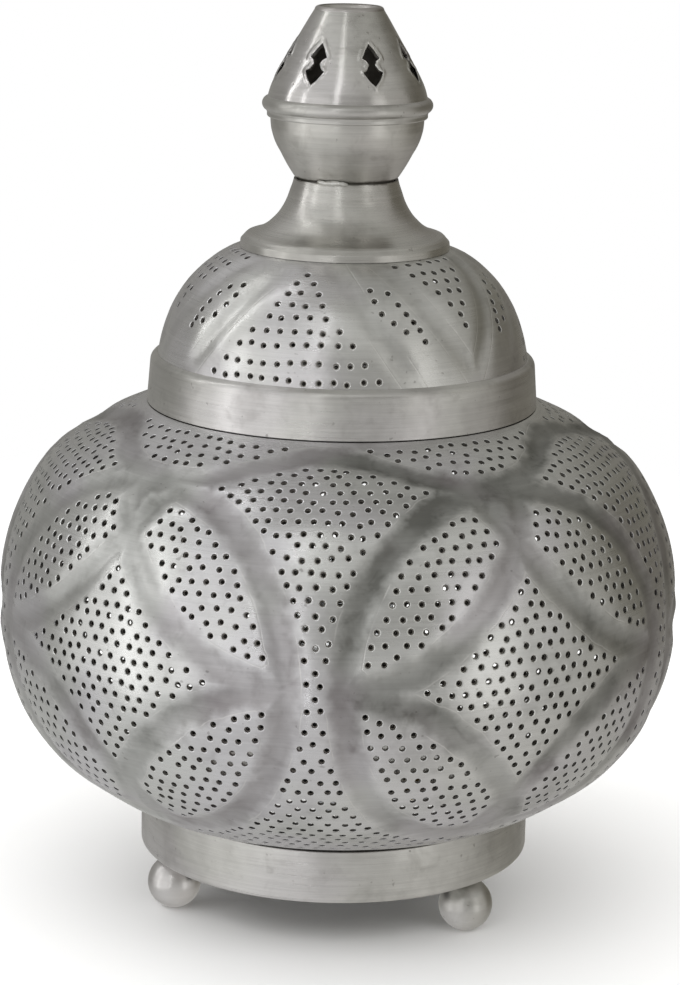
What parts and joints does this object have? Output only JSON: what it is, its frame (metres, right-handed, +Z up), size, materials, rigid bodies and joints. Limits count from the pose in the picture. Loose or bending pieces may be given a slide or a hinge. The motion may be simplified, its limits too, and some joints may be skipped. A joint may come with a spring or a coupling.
{
  "type": "oriental pierced table lamp",
  "caption": "Pierced and embossed silver-toned brass table lamp: squashed globe on a ring with ball feet, a lift-off dome lid, a flared neck and a pierced cone finial.",
  "frame": {"origin": "on the table, under the middle of the lamp", "axes": "+Z up along the lamp's axis, -Y towards the front as pictured, +X to the right"},
  "size_m": [0.2635, 0.2636, 0.3498],
  "materials": {
    "silvered_brass": "aged, brushed silver plating over pressed brass sheet",
    "solder": "dull soft solder",
    "zinc_steel": "bright zinc plating on steel",
    "bulb_tin": "thin rolled bulb cap",
    "bare_brass": "bare pressed brass contacts and earth fixing",
    "black_thermoset": "moulded black thermoset",
    "white_ceramic": "white glazed ceramic",
    "clear_glass": "clear blown glass",
    "black_rubber": "moulded black rubber",
    "tungsten_wire": "drawn tungsten wire"
  },
  "bodies": {
    "base": {"base_ring": "silvered_brass", "bridge_nut_1": "zinc_steel", "bridge_nut_2": "zinc_steel", "bridge_screw_1": "zinc_steel", "bridge_screw_2": "zinc_steel", "centre_contact": "bare_brass", "cord_grommet": "black_rubber", "earth_nut": "bare_brass", "earth_screw": "bare_brass", "foot_1": "silvered_brass", "foot_2": "silvered_brass", "foot_3": "silvered_brass", "foot_screw_1": "zinc_steel", "foot_screw_2": "zinc_steel", "foot_screw_3": "zinc_steel", "globe": "silvered_brass", "lampholder_cap": "black_thermoset", "lampholder_insert": "white_ceramic", "lampholder_shell": "black_thermoset", "lampholder_sleeve": "bare_brass", "nipple_nut_lower": "zinc_steel", "nipple_nut_upper": "zinc_steel", "nipple_washer": "zinc_steel", "socket_bridge": "zinc_steel", "terminal_screw_1": "bare_brass", "terminal_screw_2": "bare_brass", "threaded_nipple": "zinc_steel"},
    "lid": {"finial_bowl": "silvered_brass", "finial_cone": "silvered_brass", "lid_collar": "silvered_brass", "lid_dome": "silvered_brass", "lid_neck": "silvered_brass", "neck_solder": "solder"},
    "bulb": {"bulb_cap": "bulb_tin", "bulb_contact": "solder", "bulb_filament": "tungsten_wire", "bulb_glass": "clear_glass", "bulb_insulator": "black_thermoset", "bulb_stem": "clear_glass"}
  },
  "joints": [
    {"name": "lid_lift", "type": "slide", "parent": "base", "child": "lid", "axis": [0, 0, 1], "range_m": [0, 0.16]},
    {"name": "bulb_unscrew", "type": "slide", "parent": "base", "child": "bulb", "axis": [0, 0, 1], "range_m": [0, 0.03]}
  ]
}
